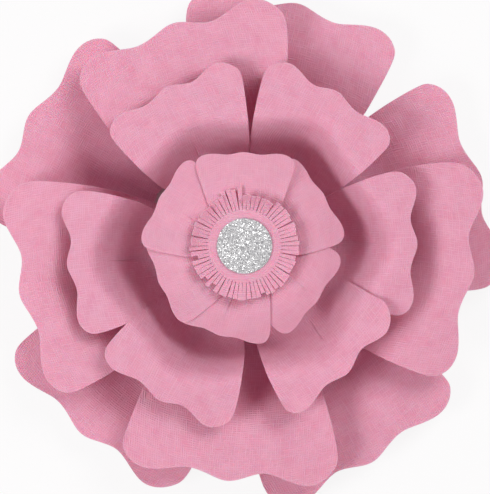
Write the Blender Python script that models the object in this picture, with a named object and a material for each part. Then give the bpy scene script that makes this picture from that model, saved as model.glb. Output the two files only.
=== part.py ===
# Layered paper flower: 21 cupped card petals in four rings on a backing disc,
# with a fringed disc and a glitter disc at the centre.
# The flower lies on its back, face up: +Z is out of the face, +Y is its top, and the
# origin is the centre of the backing disc's lower face. All lengths are in metres.

import math
from collections import namedtuple

import bmesh
import bpy
from mathutils import Vector

# Card
CARD = 0.0003                 # thickness of the petal card
CLEARANCE = 0.0003            # gap left between faces that are glued in the real flower
FLAP_LIFT = (CARD + CLEARANCE) / 2          # a dart's flap, from the middle of its petal
LEVEL = 2 * FLAP_LIFT + CARD + CLEARANCE    # from one petal to the next one laid on it
TUCK = 0.0007                 # how much nearer the axis a petal climbs, for each level
SIDE_GAP = 0.0010             # petals closer than this side by side are laid over each other

# Backing and riser
BACKING_RADIUS = 0.062
BACKING_THICKNESS = 0.0010
RISER_RADIUS = 0.013
RISER_HEIGHT = 0.0340         # holds the inner ring above the other three
CORE_RADIUS = 0.0060          # holds the fringed disc above the inner ring
ROUND_SIDES = 48

# Widths of the three petal cutters
LARGE_WIDTH = 0.0955
MEDIUM_WIDTH = 0.0634
SMALL_WIDTH = 0.0436

# Darts
DART_OVERLAP = 0.0030         # how far each flap passes the slit at the petal's base
DART_OPENING = 0.00015        # half the slit's width near its end
FLAP_COLUMNS = 2              # columns beside the slit that its flaps lift
EVEN_SPREAD = 0.45            # how far a petal's columns are evenly spread at its base
OVERLAP_STEPS = 12            # radii at which two petals are compared

# Centre
FRINGE_RADIUS = 0.0239
FRINGE_ROOT_RADIUS = 0.0160   # the slits run from here to the edge
FRINGE_STRIPS = 66
FRINGE_STRIP_SHARE = 0.86     # a strip's width as a share of its pitch at the tip
FRINGE_ROOT_SHARE = 0.84      # and at the root
FRINGE_REST_LIFT = 7.0        # degrees that an undisturbed strip is bent up
FRINGE_LIFT_WAVE = 3.0        # and by how much that differs from strip to strip
FRINGE_WAVES = 7              # waves of that difference around the disc
FRINGE_CURL = (0.67, 1.33)    # share of its bend that each half of a strip has
GLITTER_RADIUS = 0.0122
GLITTER_THICKNESS = 0.0006
GLITTER_SIDES = 64

# Outline of the large and medium cutters, from the side with the small corner to the
# side with the big lobe: across the petal, and out from the middle bump, in half widths.
WAVY_EDGE = [
    (1.00, -0.360), (0.99, -0.230), (0.92, -0.130), (0.79, -0.070), (0.64, -0.072),
    (0.50, -0.095), (0.37, -0.107), (0.20, -0.060), (0.02, 0.005), (-0.15, -0.040),
    (-0.31, -0.095), (-0.45, -0.075), (-0.60, -0.025), (-0.75, 0.000), (-0.885, -0.060),
    (-0.98, -0.180), (-1.01, -0.340),
]

# Outline of the small cutter, whose rolled edge shows hardly any wave.
ROLLED_EDGE = [
    (1.00, -0.320), (0.97, -0.165), (0.86, -0.070), (0.61, -0.035), (0.37, -0.060),
    (0.16, -0.015), (0.00, 0.000), (-0.18, -0.035), (-0.37, -0.055), (-0.61, -0.025),
    (-0.84, -0.060), (-0.96, -0.160), (-1.00, -0.320),
]

# Sides of every cutter, from the base out, in half widths from the middle bump.
SIDE = [(0.36, -1.75), (0.74, -1.15), (0.94, -0.61)]

# A ring of petals. Radii run from the flower's axis. The card lies flat to the foot,
# climbs over the wall, and rolls down again from the crest to the edge. On a petal's
# own axis the foot lies further out by the dimple that its dart gives it.
Ring = namedtuple("Ring", "name width edge foot wall dimple climb roll free steps dart petals")

# A petal: direction of its axis in degrees, reach of its middle bump, its place in the
# order that the ring is laid in, whether the cutter is turned over, lift of its free
# end, skew of its wavy edge, and how much further out than the ring's foot its own
# foot lies.
Petal = namedtuple("Petal", "turn reach order flipped lift skew hollow")

OUTER = Ring(
    name="outer", width=LARGE_WIDTH, edge=WAVY_EDGE,
    foot=0.060, wall=0.027, dimple=0.006, climb=0.0150, roll=0.0020, free=0.090,
    steps=(-0.95, -0.30, 0.12, 0.50, 0.95), dart=3,
    petals=[
        Petal(16.0, 0.1120, 1, False, 0.0000, 0.0, 0.002),
        Petal(77.7, 0.1126, 5, True, -0.0010, 0.0, -0.001),
        Petal(149.0, 0.1144, 2, True, 0.0010, 0.0, 0.006),
        Petal(229.2, 0.1128, 3, True, 0.0000, -0.04, 0.004),
        Petal(300.6, 0.1139, 4, False, 0.0005, 0.0, -0.002),
    ])

SECOND = Ring(
    name="second", width=LARGE_WIDTH, edge=WAVY_EDGE,
    foot=0.055, wall=0.026, dimple=0.005, climb=0.0300, roll=0.0025, free=0.084,
    steps=(-1.05, -0.35, 0.15, 0.45, 0.75, 1.10), dart=4,
    petals=[
        Petal(107.7, 0.1048, 3, False, 0.0000, 0.0, -0.005),
        Petal(192.0, 0.1031, 4, False, 0.0000, 0.0, 0.002),
        Petal(266.0, 0.1055, 1, True, 0.0010, 0.0, -0.007),
        Petal(353.2, 0.1037, 2, True, 0.0000, 0.0, 0.002),
    ])

THIRD = Ring(
    name="third", width=MEDIUM_WIDTH, edge=WAVY_EDGE,
    foot=0.039, wall=0.0200, dimple=0.005, climb=0.0380, roll=0.0025, free=0.060,
    steps=(-0.60, 0.02, 0.28, 0.52, 0.76, 1.00, 1.22), dart=4,
    petals=[
        Petal(0.9, 0.0768, 3, True, 0.0000, 0.0, 0.004),
        Petal(59.0, 0.0802, 1, True, 0.0000, 0.0, 0.001),
        Petal(116.0, 0.0787, 5, False, 0.0000, 0.0, -0.003),
        Petal(186.0, 0.0794, 2, False, 0.0000, 0.0, 0.006),
        Petal(241.0, 0.0783, 4, True, 0.0005, 0.0, 0.003),
        Petal(309.5, 0.0724, 6, True, 0.0040, -0.12, 0.001),
    ])

INNER = Ring(
    name="inner", width=SMALL_WIDTH, edge=ROLLED_EDGE,
    foot=0.012, wall=0.014, dimple=0.001, climb=0.0110, roll=0.0060, free=0.027,
    steps=(-0.15, 0.35, 0.75, 1.20, 1.66), dart=4,
    petals=[
        Petal(33.0, 0.0420, 2, False, 0.0000, 0.0, 0.000),
        Petal(89.5, 0.0415, 6, False, 0.0000, 0.0, 0.000),
        Petal(151.0, 0.0434, 5, True, 0.0000, 0.0, 0.000),
        Petal(202.0, 0.0413, 4, False, 0.0000, 0.0, 0.000),
        Petal(253.5, 0.0412, 3, False, 0.0000, 0.0, 0.000),
        Petal(324.0, 0.0405, 1, True, 0.0000, 0.0, 0.000),
    ])

# Fringe strips that someone has bent or trimmed: directions from and to in degrees,
# degrees that they are bent up, and their length as a share of a full strip.
BENT_STRIPS = [
    (57.0, 94.0, 34.0, 1.00),
    (95.0, 113.0, 4.0, 1.20),
    (130.0, 178.0, 24.0, 1.06),
    (192.0, 197.0, 8.0, 0.62),
    (220.0, 225.0, 8.0, 0.74),
    (230.0, 235.0, 8.0, 0.66),
    (290.0, 294.5, 8.0, 0.80),
    (330.0, 350.0, 16.0, 0.96),
]

PETAL_PINK = (0.76, 0.34, 0.46, 1.0)
INNER_PINK = (0.78, 0.36, 0.48, 1.0)
BACKING_WHITE = (0.83, 0.80, 0.78, 1.0)
GLITTER_SILVER = (0.70, 0.70, 0.71, 1.0)
CARD_ROUGHNESS = 0.75
FOAM_ROUGHNESS = 0.90
GLITTER_ROUGHNESS = 0.35
GLITTER_METALLIC = 0.6
SMOOTH_BELOW = 40.0           # degrees; sharper edges of the round pieces stay sharp


def clear_scene():
    """Remove the objects that a new file opens with."""
    for thing in list(bpy.context.scene.objects):
        bpy.data.objects.remove(thing, do_unlink=True)


def finish_material(name, colour, roughness, metallic=0.0):
    """One Principled material for one sub-part."""
    material = bpy.data.materials.new(name)
    material.use_nodes = True
    shader = material.node_tree.nodes["Principled BSDF"]
    shader.inputs["Base Color"].default_value = colour
    shader.inputs["Roughness"].default_value = roughness
    shader.inputs["Metallic"].default_value = metallic
    return material


def add_object(name, shape, colour, roughness, metallic=0.0):
    """Turn a bmesh into a named object in the scene."""
    mesh = bpy.data.meshes.new(name)
    shape.to_mesh(mesh)
    shape.free()
    thing = bpy.data.objects.new(name, mesh)
    mesh.materials.append(finish_material(name, colour, roughness, metallic))
    bpy.context.scene.collection.objects.link(thing)
    return thing


def thicken(thing, thickness):
    """Give a sheet the card's thickness, half to each side."""
    modifier = thing.modifiers.new("Card", "SOLIDIFY")
    modifier.thickness = thickness
    modifier.offset = 0.0
    modifier.use_even_offset = True
    modifier.use_quality_normals = True


def add_disc(name, radius, bottom, thickness, sides, colour, roughness, metallic=0.0):
    """A round plate or post, standing on the height `bottom`."""
    shape = bmesh.new()
    bmesh.ops.create_cone(shape, cap_ends=True, segments=sides, radius1=radius,
                          radius2=radius, depth=thickness)
    bmesh.ops.translate(shape, verts=shape.verts, vec=(0, 0, bottom + thickness / 2))
    thing = add_object(name, shape, colour, roughness, metallic)
    thing.data.shade_smooth()
    thing.data.set_sharp_from_angle(angle=math.radians(SMOOTH_BELOW))
    return thing


def smooth(x):
    """Ease from 0 to 1."""
    x = min(max(x, 0.0), 1.0)
    return x * x * (3 - 2 * x)


def between(x, points):
    """Read a list of (x, y) points as a line of straight runs."""
    if x <= points[0][0]:
        return points[0][1]
    for (x0, y0), (x1, y1) in zip(points, points[1:]):
        if x <= x1:
            return y0 + (y1 - y0) * (x - x0) / (x1 - x0)
    return points[-1][1]


def ring_foot(ring, angle):
    """Radius at which the ring's common surface starts to climb."""
    petals = sorted(ring.petals, key=lambda one: one.turn)
    first = math.radians(petals[0].turn)
    angle = (angle - first) % (2 * math.pi) + first
    for petal, after in zip(petals, petals[1:] + petals[:1]):
        start, end = math.radians(petal.turn), math.radians(after.turn)
        if end <= start:
            end += 2 * math.pi
        if angle <= end:
            break
    way = (angle - start) / (end - start)
    hollow = petal.hollow + (after.hollow - petal.hollow) * smooth(way)
    return ring.foot + hollow + ring.dimple * (1 + math.cos(2 * math.pi * way)) / 2


def ring_height(ring, radius, angle, tuck):
    """Height of the ring's common surface, whose wall is drawn in by the tuck."""
    foot = ring_foot(ring, angle) - tuck
    crest = foot + ring.wall
    reach = sum(petal.reach for petal in ring.petals) / len(ring.petals)
    rolled = max(0.0, (radius - crest) / (reach - crest))
    return ring.climb * smooth((radius - foot) / ring.wall) - ring.roll * rolled ** 2


def card_point(ring, petal, seat, level, radius, angle, flap):
    """A point of a petal's middle surface, or of a flap lying that far off it."""
    step = 0.0001
    tuck = level * TUCK
    height = ring_height(ring, radius, angle, tuck)
    outward = (ring_height(ring, radius + step, angle, tuck) - height) / step
    around = (ring_height(ring, radius, angle + step / radius, tuck) - height) / step
    radial = Vector((math.cos(angle), math.sin(angle), 0))
    tangent = Vector((-math.sin(angle), math.cos(angle), 0))
    normal = (Vector((0, 0, 1)) - radial * outward - tangent * around).normalized()
    raised = petal.lift * smooth((radius - ring.free) / (petal.reach - ring.free))
    height += seat + level * LEVEL + raised
    return radial * radius + Vector((0, 0, height)) + normal * flap


def edge_points(ring, petal):
    """The wavy end of a petal as (radius, angle from the axis), left side first."""
    half = ring.width / 2
    points = []
    for across, out in ring.edge:
        side = across * half
        reach = petal.reach + out * half
        points.append((side, reach))
    if petal.flipped:
        points = [(-side, reach) for side, reach in reversed(points)]
    points = [(side, reach + petal.skew * side) for side, reach in points]
    return [(math.hypot(side, reach), math.atan2(side, reach)) for side, reach in points]


def side_angles(ring, petal, end_point):
    """Half angle of a petal's side against its radius, up to the corner `end_point`."""
    half = ring.width / 2
    points = []
    for across, out in SIDE:
        side = across * half
        reach = petal.reach + out * half
        points.append((math.hypot(side, reach), math.atan2(side, reach)))
    points.append((end_point[0], abs(end_point[1])))
    return points


def overlapping(ring, petal, other_ring, other):
    """Whether two petals lie over each other where they are pressed together."""
    apart = math.radians((other.turn - petal.turn + 180) % 360 - 180)
    facing = 0 if apart > 0 else -1
    corner = edge_points(ring, petal)[facing]
    other_corner = edge_points(other_ring, other)[-1 - facing]
    side = side_angles(ring, petal, corner)
    other_side = side_angles(other_ring, other, other_corner)
    start = max(ring.foot + ring.wall * ring.steps[0],
                other_ring.foot + other_ring.wall * other_ring.steps[0])
    end = min(ring.foot, other_ring.foot)
    if ring is other_ring:
        end = min(corner[0], other_corner[0])
    for step in range(OVERLAP_STEPS + 1):
        radius = start + (end - start) * step / OVERLAP_STEPS
        room = abs(apart) - SIDE_GAP / radius
        if between(radius, side) + between(radius, other_side) > room:
            return True
    return False


def stack_levels(rings):
    """Level of each petal: one above the highest petal that it is laid over."""
    levels = {}
    laid = []
    for ring in rings:
        for petal in sorted(ring.petals, key=lambda one: one.order):
            below = [levels[other] for other_ring, other in laid
                     if overlapping(ring, petal, other_ring, other)]
            levels[petal] = max(below) + 1 if below else 0
            laid.append((ring, petal))
    return levels


def petal_sheet(ring, petal, seat, level):
    """The middle surface of one petal, with its dart's two flaps laid over each other."""
    edge = edge_points(ring, petal)
    left_side = side_angles(ring, petal, edge[0])
    right_side = side_angles(ring, petal, edge[-1])
    axis = math.radians(petal.turn)
    middle = len(edge) // 2
    rows = [ring.foot + ring.wall * step for step in ring.steps]
    last = len(rows)
    half = ring.width / 2

    def column_angle(column, radius):
        """Angle from the petal's axis where a column crosses a radius."""
        share = edge[column][1] / (edge[0][1] if column <= middle else -edge[-1][1])
        side = left_side if column <= middle else right_side
        grown = smooth((radius - rows[0]) / (rows[-1] - rows[0]))
        spread = EVEN_SPREAD * (1 - grown)
        even = 1 - column / middle
        return between(radius, side) * (share * (1 - spread) + even * spread)

    def dart_flap(row):
        """Overlap and lift of the flaps on a row: none from the dart's end out."""
        if row >= ring.dart:
            return 0.0, 0.0
        if row == ring.dart - 1:
            return -DART_OPENING, FLAP_LIFT
        share = 1 - rows[row] / rows[ring.dart]
        return DART_OVERLAP * share * rows[-1] / half, FLAP_LIFT

    shape = bmesh.new()
    grid = []
    for row in range(last + 1):
        line = []
        overlap, lift = dart_flap(row)
        for column in range(len(edge)):
            if row == last:
                radius, angle = edge[column]
            else:
                angle = column_angle(column, rows[row])
                radius = rows[row] + ring_foot(ring, axis + angle) - ring.foot
                radius -= level * TUCK
            if column != middle:
                flap = -lift if column < middle else lift
                if abs(column - middle) > FLAP_COLUMNS:
                    flap = 0.0
                line.append(shape.verts.new(
                    card_point(ring, petal, seat, level, radius, axis + angle, flap)))
                continue
            if row < last:
                angle = 0.0
            turn = overlap / radius
            under = shape.verts.new(
                card_point(ring, petal, seat, level, radius, axis + angle - turn, -lift))
            over = under
            if lift:
                over = shape.verts.new(
                    card_point(ring, petal, seat, level, radius, axis + angle + turn,
                               lift))
            line.append((under, over))
        grid.append(line)

    for inner, outer in zip(grid, grid[1:]):
        for column in range(len(edge) - 1):
            corners = [inner[column], inner[column + 1], outer[column + 1], outer[column]]
            which = 0 if column < middle else 1
            corners = [spot[which] if isinstance(spot, tuple) else spot for spot in corners]
            shape.faces.new(corners)
    bmesh.ops.recalc_face_normals(shape, faces=shape.faces)
    if sum(face.normal.z for face in shape.faces) < 0:
        bmesh.ops.reverse_faces(shape, faces=shape.faces)
    return shape


def add_ring(ring, seat, levels, colour):
    """All the petals of a ring, each an object of its own."""
    for number, petal in enumerate(ring.petals, start=1):
        name = f"{ring.name}_petal_{number}"
        sheet = petal_sheet(ring, petal, seat, levels[petal])
        thing = add_object(name, sheet, colour, CARD_ROUGHNESS)
        thing.data.shade_smooth()
        thicken(thing, CARD)


def bent_strip(direction):
    """Bend and length of the fringe strip that points in a direction, in degrees."""
    for start, end, bend, share in BENT_STRIPS:
        if start <= direction <= end:
            return bend, share
    wave = math.sin(math.radians(direction) * FRINGE_WAVES)
    return FRINGE_REST_LIFT + FRINGE_LIFT_WAVE * wave, 1.0


def fringe_sheet(height):
    """The fringed disc's middle surface: a plain centre with a strip on each pitch."""
    shape = bmesh.new()
    pitch = 2 * math.pi / FRINGE_STRIPS
    length = FRINGE_RADIUS - FRINGE_ROOT_RADIUS
    roots = []
    strips = []
    for number in range(FRINGE_STRIPS):
        direction = (number + 0.5) * pitch
        bend, share = bent_strip(math.degrees(direction))
        bend = math.radians(bend)
        radial = Vector((math.cos(direction), math.sin(direction), 0))
        across = Vector((-math.sin(direction), math.cos(direction), 0))
        spots = []
        out, up = FRINGE_ROOT_RADIUS, 0.0
        halves = len(FRINGE_CURL)
        for half in range(halves + 1):
            if half:
                turn = bend * FRINGE_CURL[half - 1]
                out += length * share / halves * math.cos(turn)
                up += length * share / halves * math.sin(turn)
            along = half / halves
            width = FRINGE_ROOT_SHARE + (FRINGE_STRIP_SHARE - FRINGE_ROOT_SHARE) * along
            flat_radius = FRINGE_ROOT_RADIUS + length * along
            side = across * (min(flat_radius, out) * pitch * width / 2)
            middle = radial * out + Vector((0, 0, height + up))
            spots.append([shape.verts.new(middle - side), shape.verts.new(middle + side)])
        roots.extend(spots[0])
        strips.append(spots)
    shape.faces.new(roots)
    for spots in strips:
        for near, far in zip(spots, spots[1:]):
            shape.faces.new([near[0], far[0], far[1], near[1]])
    bmesh.ops.recalc_face_normals(shape, faces=shape.faces)
    return shape


def build_flower():
    """Stack the flower from the backing disc up."""
    clear_scene()
    add_disc("backing_disc", BACKING_RADIUS, 0.0, BACKING_THICKNESS, ROUND_SIDES,
             BACKING_WHITE, CARD_ROUGHNESS)
    add_disc("centre_riser", RISER_RADIUS, BACKING_THICKNESS + CLEARANCE, RISER_HEIGHT,
             ROUND_SIDES // 2, BACKING_WHITE, FOAM_ROUGHNESS)

    seat = BACKING_THICKNESS + CLEARANCE + FLAP_LIFT + CARD / 2
    levels = stack_levels([OUTER, SECOND, THIRD])
    for ring in (OUTER, SECOND, THIRD):
        add_ring(ring, seat, levels, PETAL_PINK)

    riser_top = BACKING_THICKNESS + CLEARANCE + RISER_HEIGHT
    seat = riser_top + CLEARANCE + FLAP_LIFT + CARD / 2
    levels = stack_levels([INNER])
    add_ring(INNER, seat, levels, INNER_PINK)

    fringe_height = seat + INNER.climb + max(levels.values()) * LEVEL + CARD + CLEARANCE
    core_bottom = riser_top + CLEARANCE
    core_top = fringe_height - CARD / 2 - CLEARANCE
    add_disc("centre_core", CORE_RADIUS, core_bottom, core_top - core_bottom,
             ROUND_SIDES // 2, BACKING_WHITE, FOAM_ROUGHNESS)
    fringe = add_object("fringed_disc", fringe_sheet(fringe_height), PETAL_PINK,
                        CARD_ROUGHNESS)
    thicken(fringe, CARD)
    add_disc("glitter_disc", GLITTER_RADIUS, fringe_height + CARD / 2 + CLEARANCE,
             GLITTER_THICKNESS, GLITTER_SIDES, GLITTER_SILVER, GLITTER_ROUGHNESS,
             GLITTER_METALLIC)


build_flower()
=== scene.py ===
import math
import random

import bmesh
import bpy
from mathutils import Matrix, Vector
from mathutils import noise as field


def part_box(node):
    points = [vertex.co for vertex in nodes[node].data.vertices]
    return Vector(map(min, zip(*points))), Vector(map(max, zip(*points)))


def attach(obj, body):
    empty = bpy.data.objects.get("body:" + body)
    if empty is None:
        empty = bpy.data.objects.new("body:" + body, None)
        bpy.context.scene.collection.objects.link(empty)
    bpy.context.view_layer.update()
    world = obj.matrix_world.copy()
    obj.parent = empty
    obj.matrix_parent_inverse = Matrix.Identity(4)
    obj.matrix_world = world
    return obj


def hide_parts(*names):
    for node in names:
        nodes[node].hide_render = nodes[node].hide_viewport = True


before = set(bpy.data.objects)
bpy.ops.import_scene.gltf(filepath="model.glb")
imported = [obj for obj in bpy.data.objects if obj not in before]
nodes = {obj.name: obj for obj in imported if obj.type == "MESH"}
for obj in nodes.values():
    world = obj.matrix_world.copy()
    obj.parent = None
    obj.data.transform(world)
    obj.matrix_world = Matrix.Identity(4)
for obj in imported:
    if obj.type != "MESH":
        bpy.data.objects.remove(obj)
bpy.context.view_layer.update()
scene = bpy.context.scene

# The photograph: how far a pixel reaches on the flower, and where the flower's middle is.
PHOTO_WIDTH = 490
PHOTO_HEIGHT = 494
METRES_PER_PIXEL = 0.00045
FLOWER_MIDDLE = (244.5, 246.0)
PETAL_HEIGHT = 0.025          # the plane at which the scale holds
CAMERA_DISTANCE = 1.3

# Directions of the petals' axes, in degrees, as in the solids.
AXES = {
    "outer": (16.0, 77.7, 149.0, 229.2, 300.6),
    "second": (107.7, 192.0, 266.0, 353.2),
    "third": (0.9, 59.0, 116.0, 186.0, 241.0, 309.5),
    "inner": (33.0, 89.5, 151.0, 202.0, 253.5, 324.0),
}
SMOOTHING = 3                 # subdivision levels of a petal
FRINGE_SMOOTHING = 2          # and of the fringe, whose strips stay straight across
RIM_ANGLE = math.radians(62)  # a sharper edge is the card's cut edge
SHARP_ANGLE = math.radians(45)              # a sharper edge is shaded as an edge
CARD = 0.0003                 # thickness of the card
MERGE_DISTANCE = 0.00001      # corners closer than this are one
MAP_BANDS = 60                # rings in which a petal's length along the card is summed

# How deep the card sinks where a petal's dart ends, and how far around that reaches.
DARTS = {
    "outer": (0.0024, 0.012),
    "second": (0.0026, 0.011),
    "third": (0.0024, 0.008),
    "inner": (0.0007, 0.005),
}
WAVE_LENGTH = 0.032           # of the card's slight unevenness
WAVE_HEIGHT = 0.0007
WAVE_PLACE = {"outer": 0.0, "second": 0.05, "third": 0.10, "inner": 0.15}
EDGE_DEPTH = 0.0040           # a slit ends at least this far inside the petal's reach
SLIT_HALF = 0.0006            # a slit's edge lies within this of its petal's axis
SLIT_MARGIN = 0.001           # how far past the slit's end its edges may lie
OUTLINE_TURN = math.radians(60)             # the outline is let out where it turns less

# Fringe: its strips, and what each may differ by, in slopes and in share of its length
STRIPS = 66
FRINGE_ROOT = 0.0160
STRIP_START = 0.001           # a strip bends from this far past its root
STRIP_LEAN = 0.05
STRIP_TWIST = 0.16
STRIP_LIFT = 0.10
STRIP_LENGTH = (0.94, 1.05)
FRINGE_SEED = 5

# Card colours
CARD_PINK = (0.86, 0.46, 0.59, 1.0)
# painted shade: the darker pink below is laid into the linen's grooves
CARD_GROOVE_SHADE = (0.68, 0.18, 0.30, 1.0)
FINE_PINK = (0.84, 0.44, 0.56, 1.0)
# painted shade: the darker pink below is laid into the fine card's grooves
FINE_GROOVE_SHADE = (0.70, 0.23, 0.35, 1.0)
CUT_EDGE = (0.88, 0.62, 0.70, 1.0)
BOARD_WHITE = (0.83, 0.80, 0.77, 1.0)
BOARD_SHADE = (0.70, 0.66, 0.62, 1.0)

# Card finish
THROUGH_LIGHT = 0.40          # share of the light that enters the card
THROUGH_COLOUR = (1.0, 0.20, 0.35)          # how much further red light gets in it
THROUGH_DEPTH = CARD * 3
CARD_GLOSS = 0.12
THREAD_ROUGHNESS = 0.48
GROOVE_ROUGHNESS = 0.60
EDGE_ROUGHNESS = 0.80
RIM_CORE_AND_HIGHLIGHT = 0.35               # share of the cut edge's paler colour painted on a petal's rim, partly its core and partly a painted highlight
RIM_FALL = 5.0                # how fast that fades from the rim
MOTTLE = 0.10                 # strength of the card's mottle and of its fibres
MOTTLE_SCALE = 140
FIBRE_SCALE = 2200
FIBRE_HEIGHT = 0.35           # of the fibres, as a share of the threads'

# Weave
THREAD_PITCH = 0.00100        # the pressed linen's threads
WEAVE_DEPTH = 0.00018
LINEN_GROOVE_SHADE_SHARE = 0.38            # share of the painted shade in the large petals' grooves
FINE_GROOVE_SHADE_SHARE = 0.30             # and in the inner ring's
FINE_DEPTH = 0.6              # depth of the inner ring's weave, as a share of the others'
WANDER = 14.0                 # how far the threads stray, in radians of their pitch
WANDER_SCALE = 60
SLUB_LENGTH = 160.0           # waves to a metre along a thread's thick and thin runs

# Board
PAD_PITCH = 0.002             # from one stacked pad to the next
BOARD_ROUGHNESS = 0.85
BOARD_RELIEF = 0.0001

# Glitter
GRAINS = 2400
GRAIN_RADIUS = 0.00028
GRAIN_DEPTH = 0.00008
GRAIN_BEVEL = 0.00002
GRAIN_TILT = math.radians(20)
GRAIN_SIZES = (0.7, 1.15)
GRAIN_LAYER = 0.00015         # depth over which the grains lie above the disc
GRAIN_SEED = 11
FLAKE_SCALE = 2000.0          # flakes to a metre between the grains
SILVER = ((0.22, 0.22, 0.23, 1.0), (0.66, 0.66, 0.67, 1.0))
GRAIN_SILVER = ((0.30, 0.30, 0.31, 1.0), (0.80, 0.80, 0.80, 1.0))
SILVER_METALLIC = 0.7
SILVER_RELIEF = 0.00005

# Studio
FLOOR_SIZE = 6.0
FLOOR_WHITE = (0.85, 0.85, 0.85, 1.0)
FLOOR_GLOW = 0.88             # share of plain white in the floor as the camera sees it
SOFT_LIGHT = (1.0, 0.77, 0.85, 1.0)
SOFT_STRENGTH = 0.36
LAMP_SIZE = 0.45
LAMPS = {
    "left_softbox": ((-0.58, -0.24, 0.80), 4.5),
    "right_softbox": ((0.39, 0.40, 0.80), 3.7),
}
LAMP_AIM = (0, 0, 0.03)
SENSOR_WIDTH = 36.0


# Node helpers
def new_material(name):
    material = bpy.data.materials.new(name)
    material.use_nodes = True
    return material, material.node_tree.nodes["Principled BSDF"]


def add(tree, kind, **settings):
    node = tree.nodes.new(kind)
    for key, value in settings.items():
        setattr(node, key, value)
    return node


def math_node(tree, operation, first, second=None):
    node = add(tree, "ShaderNodeMath", operation=operation)
    for socket, value in zip(node.inputs, (first, second)):
        if value is None:
            continue
        if isinstance(value, (int, float)):
            socket.default_value = value
        else:
            tree.links.new(value, socket)
    return node.outputs[0]


def noise(tree, vector, scale, detail=2.0, roughness=0.5):
    node = add(tree, "ShaderNodeTexNoise")
    node.inputs["Scale"].default_value = scale
    node.inputs["Detail"].default_value = detail
    node.inputs["Roughness"].default_value = roughness
    tree.links.new(vector, node.inputs["Vector"])
    return node.outputs["Fac"]


def stretched(tree, vector, scale):
    node = add(tree, "ShaderNodeMapping")
    node.inputs["Scale"].default_value = scale
    tree.links.new(vector, node.inputs["Vector"])
    return node.outputs["Vector"]


def mixed_colour(tree, factor, first, second):
    node = add(tree, "ShaderNodeMix", data_type="RGBA")
    tree.links.new(factor, node.inputs["Factor"])
    for socket, value in ((node.inputs[6], first), (node.inputs[7], second)):
        if isinstance(value, tuple):
            socket.default_value = value
        else:
            tree.links.new(value, socket)
    return node.outputs[2]


def remap(tree, value, low, high, to_low=0.0, to_high=1.0):
    node = add(tree, "ShaderNodeMapRange")
    for key, number in (("From Min", low), ("From Max", high), ("To Min", to_low),
                        ("To Max", to_high)):
        node.inputs[key].default_value = number
    tree.links.new(value, node.inputs["Value"])
    return node.outputs["Result"]


def linen_threads(tree, card):
    """Height of the pressed weave, 0 in its grooves to 1 on its threads."""
    split = add(tree, "ShaderNodeSeparateXYZ")
    tree.links.new(card, split.inputs[0])
    wander = noise(tree, stretched(tree, card, (WANDER_SCALE,) * 3), 1.0)
    heights = []
    for axis, along in (("X", (1 / THREAD_PITCH, SLUB_LENGTH, 1.0)),
                        ("Y", (SLUB_LENGTH, 1 / THREAD_PITCH, 1.0))):
        turns = math_node(tree, "MULTIPLY", split.outputs[axis], 2 * math.pi / THREAD_PITCH)
        phase = math_node(tree, "ADD", turns, math_node(tree, "MULTIPLY", wander, WANDER))
        wave = remap(tree, math_node(tree, "SINE", phase), -1.0, 1.0)
        slub = remap(tree, noise(tree, stretched(tree, card, along), 1.0, 1.0), 0.35, 0.65,
                     0.1, 1.0)
        heights.append(math_node(tree, "MULTIPLY", wave, slub))
    return math_node(tree, "MAXIMUM", heights[0], heights[1])


def card_material(name, colour, groove_shade, weave, depth):
    """Matt card: pressed threads with painted shade darkening their grooves, a faint mottle,
    and a paler rim that is partly the cut edge's core and partly a painted highlight.
    """
    material, shader = new_material(name)
    tree = material.node_tree
    card = add(tree, "ShaderNodeUVMap", uv_map="card").outputs["UV"]
    threads = linen_threads(tree, card)
    mottle = noise(tree, stretched(tree, card, (MOTTLE_SCALE,) * 3), 1.0, 4.0)
    fibres = noise(tree, stretched(tree, card, (FIBRE_SCALE,) * 3), 1.0, 3.0)
    level = math_node(tree, "ADD", remap(tree, threads, 0.0, 1.0, 1.0 - weave, 1.05),
                      remap(tree, mottle, 0.3, 0.7, -MOTTLE, MOTTLE))
    level = math_node(tree, "ADD", level, remap(tree, fibres, 0.3, 0.7, -MOTTLE, MOTTLE))
    # painted shade: the weave's grooves are coloured darker than its threads, mixed with the
    # card's random mottle
    tone_and_groove_shade = mixed_colour(tree, level, groove_shade, colour)
    rim = add(tree, "ShaderNodeAttribute", attribute_name="rim").outputs["Fac"]
    # painted highlight: the sheet's rim is coloured paler, partly the cut edge's core and
    # partly a painted highlight
    rim_core_and_highlight = math_node(tree, "MULTIPLY", math_node(tree, "POWER", rim, RIM_FALL), RIM_CORE_AND_HIGHLIGHT)
    tree.links.new(mixed_colour(tree, rim_core_and_highlight, tone_and_groove_shade, CUT_EDGE), shader.inputs["Base Color"])
    tree.links.new(remap(tree, threads, 0.0, 1.0, GROOVE_ROUGHNESS, THREAD_ROUGHNESS),
                   shader.inputs["Roughness"])
    shader.inputs["Specular IOR Level"].default_value = CARD_GLOSS
    shader.inputs["Subsurface Weight"].default_value = THROUGH_LIGHT
    shader.inputs["Subsurface Radius"].default_value = THROUGH_COLOUR
    shader.inputs["Subsurface Scale"].default_value = THROUGH_DEPTH
    bump = add(tree, "ShaderNodeBump")
    bump.inputs["Strength"].default_value = 1.0
    bump.inputs["Distance"].default_value = depth
    grain = math_node(tree, "ADD", threads, math_node(tree, "MULTIPLY", fibres, FIBRE_HEIGHT))
    tree.links.new(grain, bump.inputs["Height"])
    tree.links.new(bump.outputs["Normal"], shader.inputs["Normal"])
    return material


def edge_material(name):
    """The cut edge of the card, where its paler core shows."""
    material, shader = new_material(name)
    tree = material.node_tree
    place = add(tree, "ShaderNodeTexCoord").outputs["Object"]
    fibres = noise(tree, stretched(tree, place, (3000, 3000, 9000)), 1.0, 3.0)
    tree.links.new(mixed_colour(tree, fibres, CUT_EDGE, CARD_PINK), shader.inputs["Base Color"])
    shader.inputs["Roughness"].default_value = EDGE_ROUGHNESS
    return material


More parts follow.
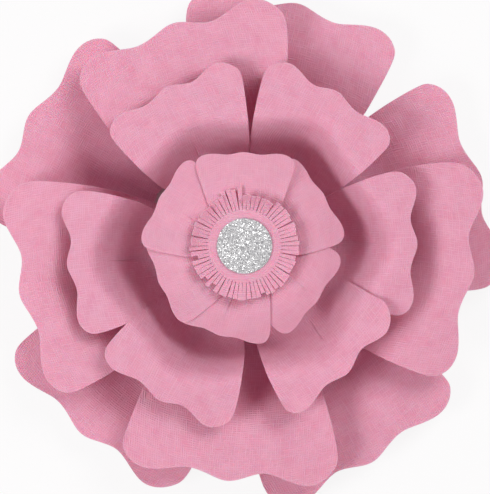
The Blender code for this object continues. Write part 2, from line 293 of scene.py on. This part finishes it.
def board_material(name, layers):
    """Plain white card or a pad of it, with fibres, and layers that show on its side."""
    material, shader = new_material(name)
    tree = material.node_tree
    place = add(tree, "ShaderNodeTexCoord").outputs["Object"]
    fibres = noise(tree, stretched(tree, place, (900, 900, 900)), 1.0, 5.0, 0.6)
    mottle = noise(tree, stretched(tree, place, (60, 60, 60)), 1.0, 3.0)
    tone = math_node(tree, "ADD", remap(tree, fibres, 0.3, 0.7, -0.3, 0.3), mottle)
    tree.links.new(mixed_colour(tree, tone, BOARD_SHADE, BOARD_WHITE),
                   shader.inputs["Base Color"])
    shader.inputs["Roughness"].default_value = BOARD_ROUGHNESS
    bump = add(tree, "ShaderNodeBump")
    bump.inputs["Distance"].default_value = BOARD_RELIEF
    height = fibres
    if layers:
        split = add(tree, "ShaderNodeSeparateXYZ")
        tree.links.new(place, split.inputs[0])
        turns = math_node(tree, "MULTIPLY", split.outputs["Z"], 2 * math.pi / layers)
        height = math_node(tree, "ADD", math_node(tree, "SINE", turns), fibres)
    tree.links.new(height, bump.inputs["Height"])
    tree.links.new(bump.outputs["Normal"], shader.inputs["Normal"])
    return material


def glitter_material(name, colours, tone_name):
    """Silver: each grain has a tone of its own, from an attribute or from cells."""
    material, shader = new_material(name)
    tree = material.node_tree
    place = add(tree, "ShaderNodeTexCoord").outputs["Object"]
    if tone_name:
        tone = add(tree, "ShaderNodeAttribute", attribute_name=tone_name).outputs["Fac"]
    else:
        cells = add(tree, "ShaderNodeTexVoronoi")
        cells.inputs["Scale"].default_value = FLAKE_SCALE
        tree.links.new(place, cells.inputs["Vector"])
        split = add(tree, "ShaderNodeSeparateColor")
        tree.links.new(cells.outputs["Color"], split.inputs[0])
        tone = split.outputs[0]
    scratches = remap(tree, noise(tree, stretched(tree, place, (6000, 6000, 6000)), 1.0),
                      0.3, 0.7, -0.08, 0.08)
    tree.links.new(mixed_colour(tree, math_node(tree, "ADD", tone, scratches), *colours),
                   shader.inputs["Base Color"])
    shader.inputs["Metallic"].default_value = SILVER_METALLIC
    tree.links.new(remap(tree, tone, 0.0, 1.0, 0.55, 0.30), shader.inputs["Roughness"])
    bump = add(tree, "ShaderNodeBump")
    bump.inputs["Distance"].default_value = SILVER_RELIEF
    tree.links.new(tone, bump.inputs["Height"])
    tree.links.new(bump.outputs["Normal"], shader.inputs["Normal"])
    return material


# Hand tools
def select_only(thing):
    bpy.ops.object.select_all(action="DESELECT")
    bpy.context.view_layer.objects.active = thing
    thing.select_set(True)


def finish_piece(piece, slot, *stands_for):
    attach(piece, "root")
    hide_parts(*stands_for)


def apply_modifier(piece, kind, **settings):
    modifier = piece.modifiers.new(kind.title(), kind)
    for key, value in settings.items():
        setattr(modifier, key, value)
    bpy.ops.object.modifier_apply(modifier=modifier.name)


def joined_copy(node, name):
    """A copy of one of the solids, with its loose triangles joined into quads."""
    piece = bpy.data.objects.new(name, nodes[node].data.copy())
    scene.collection.objects.link(piece)
    select_only(piece)
    bpy.ops.object.mode_set(mode="EDIT")
    bpy.ops.mesh.select_all(action="SELECT")
    bpy.ops.mesh.remove_doubles(threshold=MERGE_DISTANCE)
    bpy.ops.mesh.tris_convert_to_quads(face_threshold=math.radians(70),
                                       shape_threshold=math.radians(60))
    bpy.ops.object.mode_set(mode="OBJECT")
    return piece


def top_sheet(node, name):
    """The upper face of one of the card solids, as a sheet of its own."""
    piece = joined_copy(node, name)
    shape = bmesh.new()
    shape.from_mesh(piece.data)
    left = set(shape.faces)
    best, best_area = set(), 0.0
    while left:
        patch, queue = set(), [left.pop()]
        while queue:
            face = queue.pop()
            patch.add(face)
            for edge in face.edges:
                if not edge.is_manifold or edge.calc_face_angle() > RIM_ANGLE:
                    continue
                for other in edge.link_faces:
                    if other in left:
                        left.remove(other)
                        queue.append(other)
        area = sum(face.calc_area() * face.normal.z for face in patch)
        if area > best_area:
            best, best_area = patch, area
    others = [face for face in shape.faces if face not in best]
    bmesh.ops.delete(shape, geom=others, context="FACES")
    shape.to_mesh(piece.data)
    shape.free()
    piece.data.materials.clear()
    return piece


def keep_outline(piece, axis):
    """Let the outline out by what subdividing draws in, and close the dart's slit.

    The slit's outer end is given back, as a distance from the flower's axis."""
    shape = bmesh.new()
    shape.from_mesh(piece.data)
    across = Vector((-math.sin(axis), math.cos(axis), 0.0))
    reach = max(spot.co.xy.length for spot in shape.verts)
    slit = [spot.co.xy.length for spot in shape.verts
            if spot.is_boundary and abs(spot.co.dot(across)) < SLIT_HALF]
    dart_end = max(radius for radius in slit if radius < reach - EDGE_DEPTH)
    moves = {}
    for spot in shape.verts:
        ends = [edge.other_vert(spot).co for edge in spot.link_edges if edge.is_boundary]
        if len(ends) != 2:
            continue
        side = spot.co.dot(across)
        if spot.co.xy.length < dart_end + SLIT_MARGIN:
            if abs(side) < SLIT_HALF:
                moves[spot] = -across * (side * 3)
            continue
        back, ahead = spot.co - ends[0], ends[1] - spot.co
        if back.angle(ahead) < OUTLINE_TURN:
            moves[spot] = (back - ahead) / 6
    for spot, move in moves.items():
        spot.co += move
    shape.to_mesh(piece.data)
    shape.free()
    return dart_end


def sink_dart(piece, ring, axis, end):
    """Sink the card round the dart's end, and give it the unevenness of real card."""
    depth, reach = DARTS[ring]
    middle = Vector((math.cos(axis), math.sin(axis))) * end
    for vertex in piece.data.vertices:
        spot = vertex.co
        away = (spot.xy - middle).length / reach
        free = min(max((spot.xy.length - end * 0.8) / (end * 0.4), 0.0), 1.0)
        uneven = field.noise(Vector((spot.x, spot.y, WAVE_PLACE[ring])) / WAVE_LENGTH)
        spot.z += WAVE_HEIGHT * uneven * free - depth * math.exp(-away * away)


def mark_rim(piece):
    """1 on the sheet's outline and 0 inside it."""
    shape = bmesh.new()
    shape.from_mesh(piece.data)
    layer = shape.verts.layers.float.new("rim")
    for spot in shape.verts:
        spot[layer] = 1.0 if spot.is_boundary else 0.0
    shape.to_mesh(piece.data)
    shape.free()


def thicken(piece):
    """Give a sheet the card's thickness below it, with the cut edge as its rim."""
    apply_modifier(piece, "SOLIDIFY", thickness=CARD, offset=-1.0, use_even_offset=True,
                   use_quality_normals=True, material_offset_rim=1)
    piece.data.shade_smooth()
    piece.data.set_sharp_from_angle(angle=SHARP_ANGLE)


def card_map(piece, axis):
    """Lay the flat card's own measure over a petal: across it, and out along it."""
    mesh = piece.data
    axis = math.radians(axis)
    spots = []
    for vertex in mesh.vertices:
        radius = vertex.co.xy.length
        turn = math.atan2(vertex.co.y, vertex.co.x) - axis
        turn = (turn + math.pi) % (2 * math.pi) - math.pi
        spots.append((radius, turn, vertex.co.z))
    low = min(spot[0] for spot in spots)
    high = max(spot[0] for spot in spots)
    sums = [[0.0, 0] for _ in range(MAP_BANDS + 1)]
    for radius, _, height in spots:
        band = sums[int((radius - low) / (high - low) * MAP_BANDS)]
        band[0] += height
        band[1] += 1
    heights = []
    for total, count in sums:
        heights.append(total / count if count else heights[-1])
    width = (high - low) / MAP_BANDS
    lengths = [0.0]
    for here, ahead in zip(heights, heights[1:]):
        lengths.append(lengths[-1] + math.hypot(width, ahead - here))
    layer = mesh.uv_layers.new(name="card")
    places = []
    for radius, turn, _ in spots:
        share = (radius - low) / width
        band = min(int(share), MAP_BANDS - 1)
        along = lengths[band] + (lengths[band + 1] - lengths[band]) * (share - band)
        places.append((radius * math.sin(turn), along + low * math.cos(turn)))
    for loop in mesh.loops:
        layer.data[loop.index].uv = places[loop.vertex_index]


def add_petal(ring, number, axis, card, edge, slot):
    node = f"{ring}_petal_{number}"
    piece = top_sheet(node, f"{node}_card")
    piece.data.materials.append(card)
    piece.data.materials.append(edge)
    turn = math.radians(axis)
    dart_end = keep_outline(piece, turn)
    apply_modifier(piece, "SUBSURF", levels=SMOOTHING, render_levels=SMOOTHING)
    card_map(piece, axis)
    sink_dart(piece, ring, turn, dart_end)
    mark_rim(piece)
    thicken(piece)
    finish_piece(piece, slot, node)


# The flower
linen = card_material("pink_linen_card", CARD_PINK, CARD_GROOVE_SHADE, LINEN_GROOVE_SHADE_SHARE, WEAVE_DEPTH)
fine = card_material("pink_fine_card", FINE_PINK, FINE_GROOVE_SHADE, FINE_GROOVE_SHADE_SHARE,
                     WEAVE_DEPTH * FINE_DEPTH)
cut_edge = edge_material("card_cut_edge")
for ring, axes in AXES.items():
    for number, axis in enumerate(axes, start=1):
        if ring == "inner":
            add_petal(ring, number, axis, fine, cut_edge, "inner_card")
        else:
            add_petal(ring, number, axis, linen, cut_edge, "petal_card")


def add_fringe():
    """The fringed disc, each of whose strips is bent, turned and trimmed a little."""
    dice = random.Random(FRINGE_SEED)
    piece = top_sheet("fringed_disc", "fringed_disc_card")
    piece.data.materials.append(fine)
    piece.data.materials.append(cut_edge)
    base = min(vertex.co.z for vertex in piece.data.vertices)
    pitch = 2 * math.pi / STRIPS
    habits = []
    for number in range(STRIPS):
        habits.append((dice.uniform(-STRIP_LEAN, STRIP_LEAN),
                       dice.uniform(-STRIP_TWIST, STRIP_TWIST),
                       dice.uniform(0.0, STRIP_LIFT), dice.uniform(*STRIP_LENGTH)))
    for vertex in piece.data.vertices:
        spot = vertex.co
        turn = math.atan2(spot.y, spot.x) % (2 * math.pi)
        number = int(turn / pitch)
        middle = (number + 0.5) * pitch
        out = Vector((math.cos(middle), math.sin(middle), 0))
        side = Vector((-math.sin(middle), math.cos(middle), 0))
        along, across = spot.dot(out) - FRINGE_ROOT, spot.dot(side)
        if along < STRIP_START:
            continue
        lean, twist, lift, share = habits[number]
        height = spot.z - base + across * math.tan(twist) + along * lift
        vertex.co = (out * (FRINGE_ROOT + along * share) + side * (across + along * lean)
                     + Vector((0, 0, base + height)))
    apply_modifier(piece, "SUBSURF", subdivision_type="SIMPLE", levels=FRINGE_SMOOTHING,
                   render_levels=FRINGE_SMOOTHING)
    card_map(piece, 0.0)
    mark_rim(piece)
    thicken(piece)
    finish_piece(piece, "inner_card", "fringed_disc")


def add_grains(silver):
    """Silver grains strewn over the glitter disc, each tilted its own way."""
    dice = random.Random(GRAIN_SEED)
    low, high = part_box("glitter_disc")
    reach = (high[0] - low[0]) / 2 - GRAIN_RADIUS
    bpy.ops.object.select_all(action="DESELECT")
    bpy.ops.mesh.primitive_cylinder_add(vertices=6, radius=GRAIN_RADIUS, depth=GRAIN_DEPTH)
    grain = bpy.context.active_object
    bpy.ops.object.mode_set(mode="EDIT")
    bpy.ops.mesh.select_all(action="SELECT")
    bpy.ops.mesh.bevel(offset=GRAIN_BEVEL, segments=1)
    bpy.ops.object.mode_set(mode="OBJECT")
    shape = bmesh.new()
    layer = shape.verts.layers.float.new("tone")
    done = 0
    for _ in range(GRAINS):
        radius = reach * math.sqrt(dice.random())
        turn = dice.uniform(0, 2 * math.pi)
        size = dice.uniform(*GRAIN_SIZES)
        tone = dice.random()
        place = Vector((radius * math.cos(turn), radius * math.sin(turn),
                        high[2] + dice.uniform(0.0, GRAIN_LAYER)))
        stance = (Matrix.Translation(place)
                  @ Matrix.Rotation(dice.uniform(-GRAIN_TILT, GRAIN_TILT), 4, "X")
                  @ Matrix.Rotation(dice.uniform(-GRAIN_TILT, GRAIN_TILT), 4, "Y")
                  @ Matrix.Rotation(dice.uniform(0, math.pi), 4, "Z")
                  @ Matrix.Scale(size, 4))
        shape.from_mesh(grain.data)
        shape.verts.ensure_lookup_table()
        fresh = shape.verts[done:]
        for spot in fresh:
            spot.co = stance @ spot.co
            spot[layer] = tone
        done = len(shape.verts)
    mesh = bpy.data.meshes.new("glitter_grains")
    shape.to_mesh(mesh)
    shape.free()
    bpy.data.objects.remove(grain)
    piece = bpy.data.objects.new("glitter_grains", mesh)
    scene.collection.objects.link(piece)
    mesh.materials.append(silver)
    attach(piece, "root")


add_fringe()

board = board_material("white_board", 0.0)
pads = board_material("stacked_pads", PAD_PITCH)
silver = glitter_material("silver_glitter", SILVER, "")
grains = glitter_material("silver_grains", GRAIN_SILVER, "tone")
add_grains(grains)
for node, material in (("backing_disc", board), ("centre_riser", pads), ("centre_core", pads),
                       ("glitter_disc", silver)):
    nodes[node].data.materials.clear()
    nodes[node].data.materials.append(material)


# The studio
def seen_directly(tree):
    """1 for what the camera sees, also in a mirror or through glass."""
    path = add(tree, "ShaderNodeLightPath")
    seen = math_node(tree, "MAXIMUM", path.outputs["Is Camera Ray"],
                     path.outputs["Is Glossy Ray"])
    return math_node(tree, "MAXIMUM", seen, path.outputs["Is Transmission Ray"])


def add_floor():
    bpy.ops.mesh.primitive_plane_add(size=FLOOR_SIZE, location=(0, 0, 0))
    floor = bpy.context.active_object
    floor.name = "floor"
    material, shader = new_material("white_floor")
    tree = material.node_tree
    shader.inputs["Base Color"].default_value = FLOOR_WHITE
    shader.inputs["Roughness"].default_value = 0.9
    shader.inputs["Specular IOR Level"].default_value = 0.2
    glow = add(tree, "ShaderNodeEmission")
    glow.inputs["Strength"].default_value = 1.0
    mix = add(tree, "ShaderNodeMixShader")
    tree.links.new(math_node(tree, "MULTIPLY", seen_directly(tree), FLOOR_GLOW), mix.inputs[0])
    tree.links.new(shader.outputs[0], mix.inputs[1])
    tree.links.new(glow.outputs[0], mix.inputs[2])
    tree.links.new(mix.outputs[0], tree.nodes["Material Output"].inputs["Surface"])
    floor.data.materials.append(material)


def add_world():
    world = bpy.data.worlds.new("studio")
    world.use_nodes = True
    tree = world.node_tree
    soft = tree.nodes["Background"]
    soft.inputs["Color"].default_value = SOFT_LIGHT
    soft.inputs["Strength"].default_value = SOFT_STRENGTH
    white = add(tree, "ShaderNodeBackground")
    mix = add(tree, "ShaderNodeMixShader")
    tree.links.new(seen_directly(tree), mix.inputs[0])
    tree.links.new(soft.outputs[0], mix.inputs[1])
    tree.links.new(white.outputs[0], mix.inputs[2])
    tree.links.new(mix.outputs[0], tree.nodes["World Output"].inputs["Surface"])
    scene.world = world


def add_lamp(name, place, energy):
    lamp = bpy.data.lights.new(name, "AREA")
    lamp.shape = "DISK"
    lamp.size = LAMP_SIZE
    lamp.energy = energy
    holder = bpy.data.objects.new(name, lamp)
    holder.location = place
    away = Vector(place) - Vector(LAMP_AIM)
    holder.rotation_euler = away.to_track_quat("Z", "Y").to_euler()
    scene.collection.objects.link(holder)


def add_camera():
    camera = bpy.data.cameras.new("camera")
    camera.sensor_width = SENSOR_WIDTH
    camera.lens = SENSOR_WIDTH * CAMERA_DISTANCE / (PHOTO_HEIGHT * METRES_PER_PIXEL)
    holder = bpy.data.objects.new("camera", camera)
    holder.location = ((PHOTO_WIDTH / 2 - FLOWER_MIDDLE[0]) * METRES_PER_PIXEL,
                       (FLOWER_MIDDLE[1] - PHOTO_HEIGHT / 2) * METRES_PER_PIXEL,
                       PETAL_HEIGHT + CAMERA_DISTANCE)
    scene.collection.objects.link(holder)
    scene.camera = holder


add_floor()
add_world()
for name, (place, energy) in LAMPS.items():
    add_lamp(name, place, energy)
add_camera()
scene.view_settings.view_transform = "Standard"
